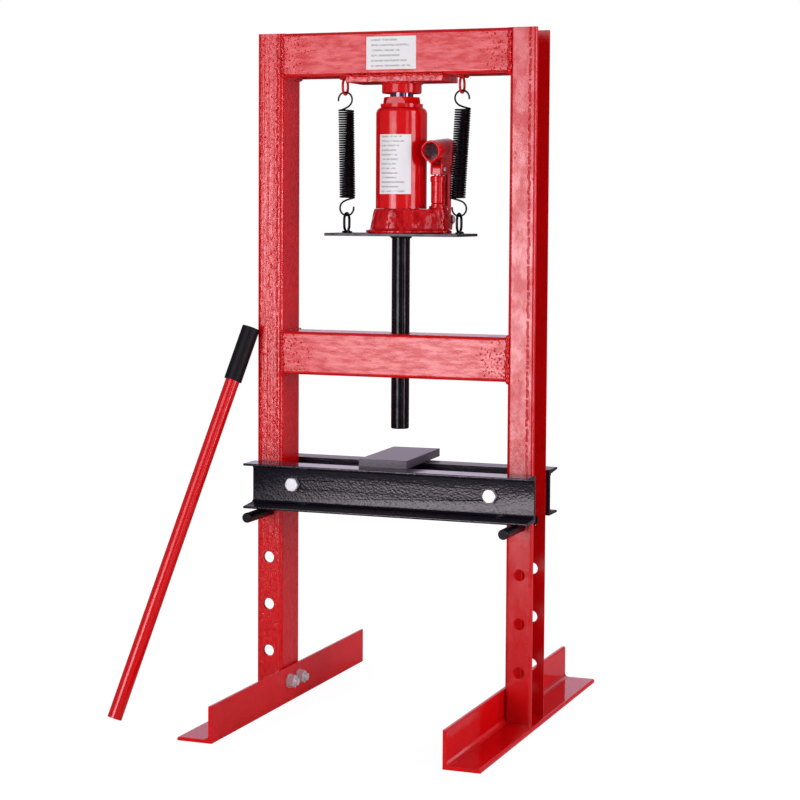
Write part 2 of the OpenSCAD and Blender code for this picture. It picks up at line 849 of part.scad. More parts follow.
// Riveted pins at both ends of the link
module link_pins() {
    color("silver")
    for (end = [[lug_z, fork_out], [lever_z, ear_half]])
        translate([pump_x, lever_arm, end[0]]) {
            rod_x(link_pin_d, 2 * (end[1] + rest_gap));
            for (side = [-1, 1])
                translate([side * (end[1] + rest_gap + pin_head / 2), 0, 0])
                    rod_x(pin_head_d, pin_head);
        }
}

// Teardrop outline: a circle with two tangents that meet below it
module teardrop(r) {
    circle(r = r);
    polygon([
        [0, 0], [r * sin(socket_wrap), -r * cos(socket_wrap)],
        [0, -r / cos(socket_wrap)], [-r * sin(socket_wrap), -r * cos(socket_wrap)]
    ]);
}

// Handle socket: a strip bent round into a tube, with two ears below
module handle_socket() {
    tube_r = socket_bore / 2 + socket_wall;
    ear_top = socket_h - lever_pin_h;
    color("red")
    translate([pump_x, 0, socket_z])
        difference() {
            union() {
                rotate([socket_tilt, 0, 0]) translate([0, socket_rear, 0]) rotate([90, 0, 0])
                    linear_extrude(socket_front + socket_rear) teardrop(tube_r);
                for (side = [-1, 1])
                    translate([side * (ear_half - ear_t / 2), 0, -ear_top]) {
                        translate([-ear_t / 2, -ear_r, -ear_r])
                            cube([ear_t, lever_arm + ear_r, ear_r + ear_top]);
                        translate([-ear_t / 2, 0, 0]) cube([ear_t, lever_arm + ear_r, ear_top]);
                        translate([0, lever_arm, 0]) rod_x(2 * ear_r, ear_t);
                    }
            }
            rotate([socket_tilt, 0, 0]) translate([0, socket_rear + cut, 0]) rotate([90, 0, 0])
                linear_extrude(socket_front + socket_rear + 2 * cut) teardrop(socket_bore / 2);
            translate([0, lever_arm, -ear_top]) rod_x(link_pin_d + 2 * run_gap, 4 * ear_half);
            // Slot of the piston pin
            for (end = [-1, 1])
                translate([0, end * slot_play_y, -ear_top])
                    rod_x(piston_pin_d + 2 * slot_play_z, 4 * ear_half);
            translate([-2 * ear_half, -slot_play_y, -ear_top - piston_pin_d / 2 - slot_play_z])
                cube([4 * ear_half, 2 * slot_play_y, piston_pin_d + 2 * slot_play_z]);
        }
}

// Screw that lets the jack down, with a cross slot for the end of the handle
module release_valve() {
    stem = valve_in - 1 + base_foot_r - base_top_r;
    color("silver")
    translate([valve_x, base_top_r - valve_in + 1, jack_z + valve_h])
        difference() {
            union() {
                rod_y(valve_stem_d, stem + cut);
                translate([0, stem, 0]) rod_y(valve_d, valve_proud);
            }
            translate([-valve_d, stem + valve_proud - 6, -1.5]) cube([2 * valve_d, 7, 3]);
        }
}

// Rubber plug in the filler hole at the back of the reservoir
module filler_plug() {
    r = tank_d / 2;
    color("black")
    translate([0, r - tank_wall, tank_z + plug_h]) {
        rod_y(plug_d, tank_wall + 1);
        translate([0, tank_wall + 0.6, 0]) rod_y(plug_head_d, 2);
    }
}

// Puts its children on the axis of the leaning handle, with the foot at the origin
module on_handle() {
    translate([handle_foot_x, handle_foot_y, handle_foot_z])
        rotate([0, handle_lean, handle_heading]) children();
}

module pump_handle() {
    color("red")
    on_handle()
        difference() {
            cylinder(d = handle_d, h = handle_len - grip_cap_t);
            translate([0, 0, -cut]) cylinder(d = handle_d - 2 * handle_wall, h = handle_len);
        }
}

module handle_grip() {
    color("black")
    on_handle()
        translate([0, 0, handle_len - grip_len])
            difference() {
                cylinder(d = grip_d, h = grip_len);
                translate([0, 0, -cut]) cylinder(d = handle_d, h = grip_len - grip_cap_t + cut);
            }
}

module beam_label() {
    color("white")
    translate([beam_label_x - beam_label_w / 2, -leg_depth / 2 - label_t,
               top_beam_z + (beam_h - beam_label_h) / 2])
        cube([beam_label_w, label_t, beam_label_h]);
}

module jack_label() {
    color("white")
    translate([0, 0, tank_z + jack_label_z])
        rotate([0, 0, jack_label_from - 90])
            rotate_extrude(angle = jack_label_sweep)
                translate([tank_d / 2, 0]) square([label_t, jack_label_h]);
}

upright_left();
upright_right();
top_beam();
mid_beam();
rod_sleeve();
thrust_plate();
ram_cap();
upper_rings();
foot_left();
foot_right();
foot_bolts();
foot_nuts();
foot_washers();
bolster_front();
bolster_rear();
bolster_bolts();
bolster_nuts();
bolster_washers();
bolster_spacers();
arbor_plate();
support_pin_left();
support_pin_right();
spring_left();
spring_right();
carrier_plate();
press_rod();
lower_rings();
jack_base();
jack_tank();
jack_cylinder();
jack_collar();
jack_top_nut();
jack_ram();
ram_seal();
pump_cylinder();
pump_piston();
piston_pin();
piston_eye();
link_bar();
link_pins();
handle_socket();
release_valve();
filler_plug();
pump_handle();
handle_grip();
beam_label();
jack_label();
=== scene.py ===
import json
import math
import random

import bmesh
import bpy
from mathutils import Matrix, Vector, noise


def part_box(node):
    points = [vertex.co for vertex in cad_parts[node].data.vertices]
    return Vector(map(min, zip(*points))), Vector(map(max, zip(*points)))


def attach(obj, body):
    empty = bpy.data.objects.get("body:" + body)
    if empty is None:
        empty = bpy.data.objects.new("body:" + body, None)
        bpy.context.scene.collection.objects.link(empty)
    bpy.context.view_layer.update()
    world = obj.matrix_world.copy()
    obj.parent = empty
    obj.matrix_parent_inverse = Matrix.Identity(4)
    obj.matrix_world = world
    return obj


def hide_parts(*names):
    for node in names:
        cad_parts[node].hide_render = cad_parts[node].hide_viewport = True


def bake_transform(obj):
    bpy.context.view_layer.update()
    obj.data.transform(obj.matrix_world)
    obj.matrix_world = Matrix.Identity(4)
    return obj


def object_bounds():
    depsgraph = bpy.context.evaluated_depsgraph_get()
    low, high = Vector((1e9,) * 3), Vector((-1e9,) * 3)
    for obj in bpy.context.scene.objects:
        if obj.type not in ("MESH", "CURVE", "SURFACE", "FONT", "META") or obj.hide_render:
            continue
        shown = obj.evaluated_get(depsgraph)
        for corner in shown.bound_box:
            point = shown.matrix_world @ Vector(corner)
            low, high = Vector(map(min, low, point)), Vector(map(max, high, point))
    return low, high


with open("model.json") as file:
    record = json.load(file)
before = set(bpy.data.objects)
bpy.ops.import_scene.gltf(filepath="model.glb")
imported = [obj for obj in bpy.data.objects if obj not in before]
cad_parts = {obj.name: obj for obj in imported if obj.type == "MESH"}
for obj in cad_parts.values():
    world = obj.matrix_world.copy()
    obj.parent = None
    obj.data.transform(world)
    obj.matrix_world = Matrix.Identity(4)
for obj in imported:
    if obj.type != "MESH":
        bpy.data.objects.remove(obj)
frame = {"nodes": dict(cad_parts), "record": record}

# Bench press with a bottle jack: finishes, welds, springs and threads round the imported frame.
# X is to the right, Y to the rear and Z up. Lengths are in metres, or in mm where a note says so.
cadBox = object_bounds()
cad = frame["nodes"]
scene = bpy.context.scene
mm = 0.001
mergeGap = 0.01 * mm  # points of a CAD mesh closer than this are one point
ringWire = 1.8  # mm, radius of the wire of the spring rings
chance = random.Random(11)


def srgb(code):
    # sRGB hex to a linear colour
    values = [int(code[i:i + 2], 16) / 255 for i in (0, 2, 4)]
    return [v / 12.92 if v <= 0.04045 else ((v + 0.055) / 1.055) ** 2.4 for v in values] + [1]


def addNode(tree, kind, inputs=None, **settings):
    # one node with its settings; an input is a value or the socket that feeds it
    made = tree.nodes.new(kind)
    for key, value in settings.items():
        setattr(made, key, value)
    for key, value in (inputs or {}).items():
        if isinstance(value, bpy.types.NodeSocket):
            tree.links.new(value, made.inputs[key])
        else:
            made.inputs[key].default_value = value
    return made


def addRange(tree, value, low, high, toLow=0.0, toHigh=1.0):
    return addNode(tree, "ShaderNodeMapRange", {
        "Value": value, "From Min": low, "From Max": high, "To Min": toLow, "To Max": toHigh},
        interpolation_type="SMOOTHSTEP").outputs[0]


def maths(tree, operation, *values):
    return addNode(tree, "ShaderNodeMath", dict(enumerate(values)), operation=operation).outputs[0]


def addTint(tree, share, low, high):
    # mixes two colours, each a hex code or a socket
    low, high = (srgb(c) if isinstance(c, str) else c for c in (low, high))
    return addNode(tree, "ShaderNodeMix", {0: share, 6: low, 7: high}, data_type="RGBA").outputs[2]


# camera, in front of the press and to its right, about level with the foot of the jack
cameraSettings = dict(
    spot=(0.99733, -2.59866, 0.69654), heading=21.01, down=3.34, roll=0.32,
    sensor=36, lens=90.79, shiftY=-0.09)


def makeCamera(s):
    camera = bpy.data.objects.new("camera", bpy.data.cameras.new("camera"))
    turns = [Matrix.Rotation(math.radians(a), 4, axis) for a, axis in (
        (s["heading"], "Z"), (90 - s["down"], "X"), (s["roll"], "Z"))]
    camera.matrix_world = Matrix.Translation(s["spot"]) @ turns[0] @ turns[1] @ turns[2]
    camera.data.sensor_width = s["sensor"]
    camera.data.lens = s["lens"]
    camera.data.shift_y = s["shiftY"]
    scene.collection.objects.link(camera)
    scene.camera = camera


makeCamera(cameraSettings)
scene.view_settings.view_transform = "Standard"
print("camera done")

# studio: soft boxes at the left front, at the right and behind, a pale world and a paper floor
# a heading of 0 is the front and 90 the right; a lamp that isn't mirrored lights without a glint
lampSettings = {
    "keySoftbox": dict(
        heading=-18, distance=2.3, height=0.93, size=(1.35, 1.5), radiance=2.75, colour="FFF6FF"),
    "keyCore": dict(
        heading=-15, distance=2.25, height=0.45, size=(0.8, 0.85), radiance=4.6, colour="FFF4FA"),
    "sideSoftbox": dict(
        heading=77, distance=2.4, height=0.95, size=(0.85, 1.8), radiance=5.2, colour="FFF2FF"),
    "fillSoftbox": dict(
        heading=46, distance=2.6, height=0.95, size=(0.45, 1.6), radiance=1.6, colour="FFF6FF"),
    "rearSoftbox": dict(
        heading=234, distance=2.6, height=1.1, size=(1.1, 1.6), radiance=4.0, colour="FFFAFF",
        mirrored=False),
    "rearFill": dict(
        heading=124, distance=2.5, height=1.0, size=(0.9, 1.6), radiance=3.8, colour="FFF2FF",
        mirrored=False),
}
aimPoint = Vector((0, 0, 0.5))
# Mirrors see a dim world with one bright patch behind the press, full within inner degrees of its
# heading and gone past outer. Rise and fall each give two sines of elevation and the strength at
# each, and the patch is as strong as their difference.
worldSettings = dict(
    colour="FAF4FC", mirrored="F0E0F8", ambient=0.42, gloss=0.22, patchHeading=21, inner=20,
    outer=36, rise=(0.06, 0.125, 0, 2.1), fall=(0.145, 0.21, 0, 1.25))
# The camera sees this share of plain white, glow, up to near and all white from far on. Mirrors see
# a painted grey reflection of the paper, which painted shade darkens to the left between the two
# places on X of shade.
floorSettings = dict(
    size=8, colour="FFFFFF", mirrored="9C9A9E", shaded="1A1A1C", shade=(-0.75, -1.5), glow=0.86,
    strength=1.08, near=0.5, far=1.3)


def makeLamp(name, s):
    lamp = bpy.data.lights.new(name, "AREA")
    lamp.shape = "RECTANGLE"
    lamp.size, lamp.size_y = s["size"]
    lamp.color = srgb(s["colour"])[:3]
    lamp.energy = s["radiance"] * math.pi * lamp.size * lamp.size_y
    holder = bpy.data.objects.new(name, lamp)
    turn = math.radians(s["heading"])
    spot = Vector((math.sin(turn), -math.cos(turn), 0)) * s["distance"]
    spot.z = s["height"]
    turned = (aimPoint - spot).to_track_quat("-Z", "Y").to_matrix().to_4x4()
    holder.matrix_world = Matrix.Translation(spot) @ turned
    holder.visible_camera = False
    holder.visible_glossy = s.get("mirrored", True)
    scene.collection.objects.link(holder)


def makeWorld(s):
    world = bpy.data.worlds.new("studio")
    scene.world = world
    world.use_nodes = True
    tree = world.node_tree
    tree.nodes.clear()
    rays = addNode(tree, "ShaderNodeLightPath")
    place = addNode(tree, "ShaderNodeTexCoord")
    heading = math.radians(s["patchHeading"])
    facing = addNode(tree, "ShaderNodeVectorMath", {
        0: place.outputs["Generated"], 1: (-math.sin(heading), math.cos(heading), 0)},
        operation="DOT_PRODUCT")
    climb = addNode(tree, "ShaderNodeSeparateXYZ", {0: place.outputs["Generated"]})
    glow = maths(
        tree, "SUBTRACT", addRange(tree, climb.outputs["Z"], *s["rise"]),
        addRange(tree, climb.outputs["Z"], *s["fall"]))
    around = addRange(
        tree, facing.outputs["Value"], math.cos(math.radians(s["outer"])),
        math.cos(math.radians(s["inner"])))
    gloss = addNode(tree, "ShaderNodeMix", {0: around, 2: s["gloss"], 3: glow})
    level = addNode(tree, "ShaderNodeMix", {
        0: rays.outputs["Is Glossy Ray"], 2: s["ambient"], 3: gloss.outputs[0]})
    tone = addTint(tree, rays.outputs["Is Glossy Ray"], s["colour"], s["mirrored"])
    studio = addNode(tree, "ShaderNodeBackground", {"Color": tone, "Strength": level.outputs[0]})
    white = addNode(tree, "ShaderNodeBackground", {"Color": (1, 1, 1, 1), "Strength": 1.0})
    shown = addNode(tree, "ShaderNodeMixShader", {
        0: rays.outputs["Is Camera Ray"], 1: studio.outputs[0], 2: white.outputs[0]})
    addNode(tree, "ShaderNodeOutputWorld", {"Surface": shown.outputs[0]})


def makeFloor(s):
    mesh = bmesh.new()
    bmesh.ops.create_grid(mesh, x_segments=1, y_segments=1, size=s["size"] / 2)
    data = bpy.data.meshes.new("floor")
    mesh.to_mesh(data)
    mesh.free()
    floor = bpy.data.objects.new("floor", data)
    scene.collection.objects.link(floor)
    paper = bpy.data.materials.new("matteStudioPaper")
    paper.use_nodes = True
    tree = paper.node_tree
    tree.nodes.clear()
    rays = addNode(tree, "ShaderNodeLightPath")
    place = addNode(tree, "ShaderNodeTexCoord")
    reach = addNode(tree, "ShaderNodeVectorMath", {0: place.outputs["Object"]}, operation="LENGTH")
    fade = addRange(tree, reach.outputs["Value"], s["near"], s["far"], s["glow"], 1.0)
    share = maths(tree, "MULTIPLY", rays.outputs["Is Camera Ray"], fade)
    across = addNode(tree, "ShaderNodeSeparateXYZ", {0: place.outputs["Object"]}).outputs["X"]
    # painted reflection and painted shade: in mirrors the paper is grey, going near black to the
    # left
    mirrorShade = addTint(tree, addRange(tree, across, *s["shade"]), s["mirrored"], s["shaded"])
    tone = addTint(tree, rays.outputs["Is Glossy Ray"], s["colour"], mirrorShade)
    sheet = addNode(tree, "ShaderNodeBsdfDiffuse", {"Color": tone})
    glow = addNode(tree, "ShaderNodeEmission", {"Color": (1, 1, 1, 1), "Strength": s["strength"]})
    mixed = addNode(tree, "ShaderNodeMixShader", {
        0: share, 1: sheet.outputs[0], 2: glow.outputs[0]})
    addNode(tree, "ShaderNodeOutputMaterial", {"Surface": mixed.outputs[0]})
    data.materials.append(paper)


for lampName, lampFacts in lampSettings.items():
    makeLamp(lampName, lampFacts)
makeWorld(worldSettings)
makeFloor(floorSettings)
print("studio done")


# materials, with a pattern's sizes and depths in metres
def newMaterial(name, roughness, metallic=0.0, colour="808080", **sockets):
    material = bpy.data.materials.new(name)
    material.use_nodes = True
    tree = material.node_tree
    shader = tree.nodes["Principled BSDF"]
    shader.inputs["Base Color"].default_value = srgb(colour)
    shader.inputs["Roughness"].default_value = roughness
    shader.inputs["Metallic"].default_value = metallic
    for key, value in sockets.items():
        shader.inputs[key].default_value = value
    place = addNode(tree, "ShaderNodeTexCoord").outputs["Object"]
    return material, tree, shader, place


def stretched(tree, place, stretch):
    # Object coordinates squeezed along each axis, so that a pattern runs longer that way
    return addNode(tree, "ShaderNodeMapping", {
        "Vector": place, "Scale": [1 / v for v in stretch]}).outputs[0]


def addNoise(tree, place, size, detail=2.0, rough=0.5):
    # noise whose grains are about size metres across
    return addNode(tree, "ShaderNodeTexNoise", {
        "Vector": place, "Scale": 1 / size, "Detail": detail, "Roughness": rough}).outputs["Fac"]


def addBump(tree, height, depth, below=None, strength=1.0):
    # relief of that depth in metres, laid over the relief below it
    inputs = {"Height": height, "Distance": depth, "Strength": strength}
    if below is not None:
        inputs["Normal"] = below
    return addNode(tree, "ShaderNodeBump", inputs).outputs[0]


def paintBoreShade(tree, place, colour, s):
    # painted shade on what lies near an axis, standing in for the shade inside a bore, where the
    # thin coat is darker too
    offset = addNode(tree, "ShaderNodeVectorMath", {0: place, 1: s["spot"]}, operation="SUBTRACT")
    across = addNode(tree, "ShaderNodeVectorMath", {
        0: offset.outputs[0], 1: s["axis"]}, operation="CROSS_PRODUCT")
    reach = addNode(tree, "ShaderNodeVectorMath", {0: across.outputs[0]}, operation="LENGTH")
    share = addRange(
        tree, reach.outputs["Value"], s["radius"] - s["inner"], s["radius"] + s["outer"])
    return addTint(tree, share, s["colour"], colour)


def flowedOut(tree, level):
    # strength of the relief: 1 on upright faces, and level on flat-lying ones, where wet paint
    # flows out smooth; the change comes between these two values of the normal's Z
    steep, flat = 0.6, 0.95
    normal = addNode(tree, "ShaderNodeTexCoord").outputs["Normal"]
    parts = addNode(tree, "ShaderNodeSeparateXYZ", {0: normal}).outputs
    return addRange(tree, maths(tree, "ABSOLUTE", parts["Z"]), steep, flat, 1.0, level)


def shadeLine(tree, place, s, x):
    # share of a wavy, broken line along Z of painted shade, with a shallow groove, by a rounded
    # flange edge
    farWide = 400  # so wide a pattern changes only along Z
    parts = addNode(tree, "ShaderNodeSeparateXYZ", {0: place}).outputs
    upward = stretched(tree, place, (farWide, farWide, 1))
    wave = addNoise(tree, upward, s["shadeWave"], detail=3)
    bend = maths(tree, "MULTIPLY_ADD", wave, s["shadeWobble"], x - s["shadeWobble"] / 2)
    offset = maths(tree, "ABSOLUTE", maths(tree, "SUBTRACT", parts["X"], bend))
    line = addRange(tree, offset, s["shadeHalf"], s["shadeCore"])
    breaks = addRange(tree, addNoise(tree, upward, s["shadeBreak"]), *s["breakBand"])
    # the painted shade shows only on the flange faces and fades out towards the bottom
    outside = maths(tree, "GREATER_THAN", maths(tree, "ABSOLUTE", parts["Y"]), s["shadeFace"])
    faded = maths(tree, "MULTIPLY", outside, addRange(tree, parts["Z"], *s["shadeLow"]))
    return maths(tree, "MULTIPLY", maths(tree, "MULTIPLY", line, breaks), faded)


def glossEnamel(name, s):
    # Air-dried gloss enamel over hot-rolled steel. The eye gets orange peel that breaks up the
    # highlights, mottling where the coat dried dull, dark pits, and wavy lines of painted shade
    # along rounded flange edges.
    material, tree, shader, place = newMaterial(
        name, s["roughness"], IOR=1.5, **{"Specular IOR Level": (s["dull"] + s["bright"]) / 2})
    along = stretched(tree, place, s["stretch"])
    mottle = addNoise(tree, along, s["mottleSize"], 3, s["mottleRough"])
    coat = addRange(tree, mottle, *s["mottleBand"])
    colour = addTint(tree, coat, s["thin"], s["colour"])
    level = addRange(tree, mottle, *s["mottleBand"], s["dull"], s["bright"])
    flow = flowedOut(tree, s["levelled"])
    waves = addNoise(tree, along, s["waveSize"], detail=1)
    relief = addBump(tree, waves, s["waveDepth"], strength=flow)
    if s["rollDepth"]:
        rolled = stretched(tree, place, (1, 1, s["rollLong"]))
        ripples = addNoise(tree, rolled, s["rollSize"], detail=3, rough=0.6)
        relief = addBump(tree, ripples, s["rollDepth"], relief)
    peel = addNoise(tree, along, s["peelSize"], rough=0.55)
    relief = addBump(tree, peel, s["peelDepth"], relief, flow)
    # lines of painted shade, darkened, dulled and dented with the same colour and depth as the real
    # pits
    marks = [shadeLine(tree, place, s, x) for x in s["runs"]]
    if s["pitDepth"]:
        pits = addNoise(
            tree, stretched(tree, place, (1, 1, s["pitLong"])), s["pitSize"], detail=1)
        edge = s["pitEdge"]
        if s["pitEnds"]:
            parts = addNode(tree, "ShaderNodeSeparateXYZ", {0: place}).outputs
            near = addRange(tree, maths(tree, "ABSOLUTE", parts["X"]), *s["pitEnds"])
            edge = maths(tree, "MULTIPLY", near, edge)
        marks.append(maths(tree, "MULTIPLY", maths(tree, "SUBTRACT", edge, pits), s["pitSlope"]))
    for mark in marks:
        share = addRange(tree, mark, 0.0, 1.0)
        relief = addBump(tree, share, -s["pitDepth"], relief)
        colour = addTint(tree, share, colour, s["pitAndShadeColour"])
        level = maths(tree, "MULTIPLY", level, addRange(tree, mark, 0.0, 1.0, 1.0, s["pitShine"]))
    # painted shade inside a bore
    if s["bore"]:
        colour = paintBoreShade(tree, place, colour, s["bore"])
    tree.links.new(colour, shader.inputs["Base Color"])
    tree.links.new(level, shader.inputs["Specular IOR Level"])
    tree.links.new(relief, shader.inputs["Normal"])
    return material


# dull and bright are the specular level over the mottling; pitEnds are two distances from the
# middle on X, between which the pits grow to full size; runs are places on X of lines of
# painted shade; shadeFace is how far from the middle on Y they show; shadeLow gives two heights
# with the share of the painted shade at each
enamelSettings = dict(
    colour="C8070B", thin="C00609", roughness=0.2, stretch=(1, 1, 1), levelled=0.25, bore=None,
    mottleSize=14 * mm, mottleRough=0.6, mottleBand=(0.34, 0.66), dull=0.45, bright=0.55,
    waveSize=16 * mm, waveDepth=0.3 * mm, peelSize=3.2 * mm, peelDepth=0.05 * mm,
    rollSize=7 * mm, rollLong=60, rollDepth=0,
    pitAndShadeColour="B00308", pitSize=7 * mm, pitLong=1.0, pitEdge=0.4, pitSlope=8.0, pitEnds=None,
    pitDepth=0, pitShine=0.25,
    runs=(), shadeWave=11 * mm, shadeWobble=7 * mm, shadeHalf=2.2 * mm, shadeCore=0.66 * mm,
    shadeBreak=6.6 * mm, breakBand=(0.36, 0.5), shadeFace=31 * mm, shadeLow=(0.28, 0.42, 0.25, 1.0))
leftOut, leftIn = (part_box("upright_left")[end][0] for end in (0, 1))
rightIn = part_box("upright_right")[0][0]
socketMount = next(m for m in frame["record"]["mounts"] if m["name"] == "handle_bore")
# painted shade inside the handle socket's bore: near-black close to its axis
socketBoreShade = dict(
    spot=socketMount["pos_m"], axis=socketMount["axis"],
    radius=socketMount["dims"]["r_mm"] * mm, inner=0.1 * mm, outer=0.2 * mm, colour="1E0A0C")
uprightSettings = dict(
    enamelSettings, roughness=0.17, thin="BA0508", stretch=(1, 1, 1.6), mottleSize=4.5 * mm,
    mottleRough=0.8, dull=0.3, bright=0.88, waveSize=12 * mm, waveDepth=0.4 * mm,
    peelSize=2.4 * mm, peelDepth=0.2 * mm, pitSize=3.6 * mm, pitLong=1.3, pitEdge=0.375,
    pitDepth=0.2 * mm, rollDepth=0.8 * mm)
redMaterials = {
    "feet": glossEnamel("glossEnamelOnAngleIron", dict(enamelSettings, roughness=0.08)),
    "root": glossEnamel("glossEnamelOnRootRadius", dict(
        enamelSettings, roughness=0.3, dull=0.35, bright=0.45)),
    "upright": glossEnamel("glossEnamelOnRolledChannel", dict(
        # painted shade lines near both edges of the left channel's front flange
        uprightSettings, runs=(leftIn - 8 * mm, leftOut + 3 * mm))),
    "smoothUpright": glossEnamel("glossEnamelOnRightChannel", dict(
        uprightSettings, roughness=0.2, colour="BE060A", thin="B80509", mottleSize=24 * mm,
        mottleRough=0.7, dull=0.4, bright=0.95, waveSize=26 * mm, waveDepth=0.28 * mm,
        peelDepth=0.12 * mm, pitSize=9 * mm, pitEdge=0.3, pitDepth=0.15 * mm, rollDepth=0.1 * mm,
        runs=(rightIn + 29 * mm,))),
    "beams": glossEnamel("glossEnamelOnBoxTube", dict(
        enamelSettings, thin="BC0509", stretch=(4, 1, 1), mottleSize=6 * mm, mottleRough=0.7,
        dull=0.35, bright=0.78, waveSize=16 * mm, waveDepth=0.15 * mm, peelSize=3 * mm,
        peelDepth=0.11 * mm, pitSize=3.4 * mm, pitEdge=0.43, pitDepth=0.15 * mm,
        pitEnds=(60 * mm, 150 * mm))),
    "plate": glossEnamel("glossEnamelOnFlameCutPlate", dict(
        enamelSettings, thin="AA0508", mottleSize=6 * mm, mottleRough=0.85, dull=0.2, bright=0.95,
        waveSize=7 * mm, waveDepth=0.8 * mm, peelSize=2.6 * mm, peelDepth=0.3 * mm)),
    "jack": glossEnamel("glossEnamelOnDrawnTube", dict(
        enamelSettings, roughness=0.13, colour="C4050B", waveSize=20 * mm, waveDepth=0.25 * mm,
        peelSize=5 * mm, peelDepth=0.06 * mm)),
    "socket": glossEnamel("glossEnamelOnSocket", dict(
        enamelSettings, roughness=0.2, colour="CC060C", thin="B8050A", dull=0.1, bright=0.3,
        waveSize=8 * mm, waveDepth=0.5 * mm, bore=socketBoreShade)),
    "casting": glossEnamel("glossEnamelOnCastIron", dict(
        enamelSettings, roughness=0.12, colour="BC040B", thin="9A0308", stretch=(1, 1, 1.8),
        mottleSize=9 * mm, mottleRough=0.7, dull=0.2, bright=0.85, waveSize=8 * mm,
        waveDepth=0.75 * mm, peelSize=3 * mm, peelDepth=0.18 * mm, levelled=1.0)),
    "weld": glossEnamel("glossEnamelOnWeldBead", dict(
        enamelSettings, roughness=0.18, thin="A80409", mottleSize=5 * mm, waveSize=4 * mm,
        waveDepth=0.4 * mm, peelSize=1.5 * mm, peelDepth=0.12 * mm)),
}
blackSettings = dict(
    enamelSettings, colour="0A090D", thin="070609", roughness=0.13, dull=0.2, bright=0.3,
    peelDepth=0.06 * mm)
blackEnamel = glossEnamel("satinEnamelBlack", blackSettings)


def hammertone(name, s):
    # Hammertone enamel, whose silicone beads pull the wet coat into shallow cells. The eye
    # gets a dark leathery grain with bright cell rims.
    material, tree, shader, place = newMaterial(
        name, s["roughness"], IOR=1.5, **{"Specular IOR Level": s["gloss"]})
    if s["glossEnd"]:
        across = addNode(tree, "ShaderNodeSeparateXYZ", {0: place}).outputs["X"]
        level = addRange(tree, across, *s["glossEnd"], s["gloss"])
        tree.links.new(level, shader.inputs["Specular IOR Level"])
    flow = flowedOut(tree, s["levelled"])
    along = stretched(tree, place, s["stretch"])
    warp = addNode(tree, "ShaderNodeTexNoise", {
        "Vector": along, "Scale": 1 / s["warpSize"], "Detail": 2.0}).outputs["Color"]
    bent = addNode(tree, "ShaderNodeVectorMath", {
        0: warp, 1: (s["warp"],) * 3, 2: along}, operation="MULTIPLY_ADD").outputs[0]
    cells = addNode(tree, "ShaderNodeTexVoronoi", {
        "Vector": bent, "Scale": 1 / s["cellSize"], "Smoothness": s["cellSmooth"]},
        feature="SMOOTH_F1")
    grain = addNoise(tree, along, s["grainSize"], 2)
    relief = addBump(tree, cells.outputs["Distance"], s["cellDepth"], strength=flow)
    relief = addBump(tree, grain, s["grainDepth"], relief, flow)
    colour = addTint(tree, addRange(tree, grain, *s["grainBand"]), s["thin"], s["colour"])
    tree.links.new(colour, shader.inputs["Base Color"])
    tree.links.new(relief, shader.inputs["Normal"])
    return material


# glossEnd gives two places on X and the gloss at the first, which grows to gloss at the second
hammerSettings = dict(
    colour="1A1622", thin="0B0810", roughness=0.2, gloss=0.45, glossEnd=(-0.25, -0.05, 0.08),
    levelled=0.1, stretch=(1.3, 1, 1), warpSize=8 * mm, warp=4 * mm, cellSize=2.9 * mm,
    cellDepth=0.26 * mm, cellSmooth=0.6, grainSize=1.5 * mm, grainDepth=0.17 * mm,
    grainBand=(0.35, 0.65))
hammerPaint = hammertone("hammertoneEnamelBlack", hammerSettings)
# painted shade: the same hammertone with less gloss and more roughness, a shaded copy for the rear
# bolster
shadedPaint = hammertone("hammertoneEnamelBlackPaintedShade", dict(
    hammerSettings, gloss=0.22, glossEnd=None, roughness=0.3))
arborPaint = hammertone("hammertoneEnamelOnArborPlate", dict(
    hammerSettings, colour="4C4652", thin="403C46", roughness=0.34, gloss=0.4, glossEnd=None,
    cellDepth=0.2 * mm, grainDepth=0.1 * mm))


def bareSteel(name, s):
    # Bare or plated steel. The eye gets a metal sheen with fine grinding or plating grain.
    material, tree, shader, place = newMaterial(name, s["roughness"], s["metallic"])
    along = stretched(tree, place, s["stretch"])
    grain = addNoise(tree, along, s["grainSize"], detail=3, rough=0.6)
    tree.links.new(addTint(tree, grain, s["dark"], s["colour"]), shader.inputs["Base Color"])
    rough = addRange(tree, grain, *s["grainBand"], *(s["roughness"] * v for v in s["roughSpread"]))
    tree.links.new(rough, shader.inputs["Roughness"])
    tree.links.new(addBump(tree, grain, s["depth"]), shader.inputs["Normal"])
    return material


steelSettings = dict(
    colour="DCDEE2", dark="A9ABB2", roughness=0.3, metallic=1.0, stretch=(1, 1, 1),
    grainSize=1.2 * mm, depth=0.03 * mm, grainBand=(0.2, 0.8), roughSpread=(0.7, 1.3))
zincPlate = bareSteel("zincPlatedSteel", dict(
    steelSettings, colour="E4E8E8", dark="C8CDCF", roughness=0.24, metallic=0.5,
    grainSize=0.7 * mm))
groundSteel = bareSteel("groundChromedSteel", dict(
    steelSettings, colour="8A8A90", dark="74747A", roughness=0.08, stretch=(1, 1, 4),
    depth=0.01 * mm))
springSteel = bareSteel("oiledSpringSteel", dict(
    steelSettings, colour="2E2D31", dark="121114", roughness=0.3))
plainSteel = bareSteel("blackOxideSteel", dict(
    steelSettings, colour="2E2C31", dark="151417", roughness=0.3))


def softPvc(name, s):
    # Dipped PVC grip. The eye gets a near-black satin skin with a faint moulded grain.
    material, tree, shader, place = newMaterial(
        name, s["roughness"], colour=s["colour"], **{"Specular IOR Level": s["gloss"]})
    grain = addNoise(tree, place, s["grainSize"], 2)
    tree.links.new(addBump(tree, grain, s["depth"]), shader.inputs["Normal"])
    return material


rubber = softPvc("dippedPvcBlack", dict(
    colour="0C0A0E", roughness=0.5, gloss=0.22, grainSize=1.5 * mm, depth=0.05 * mm))


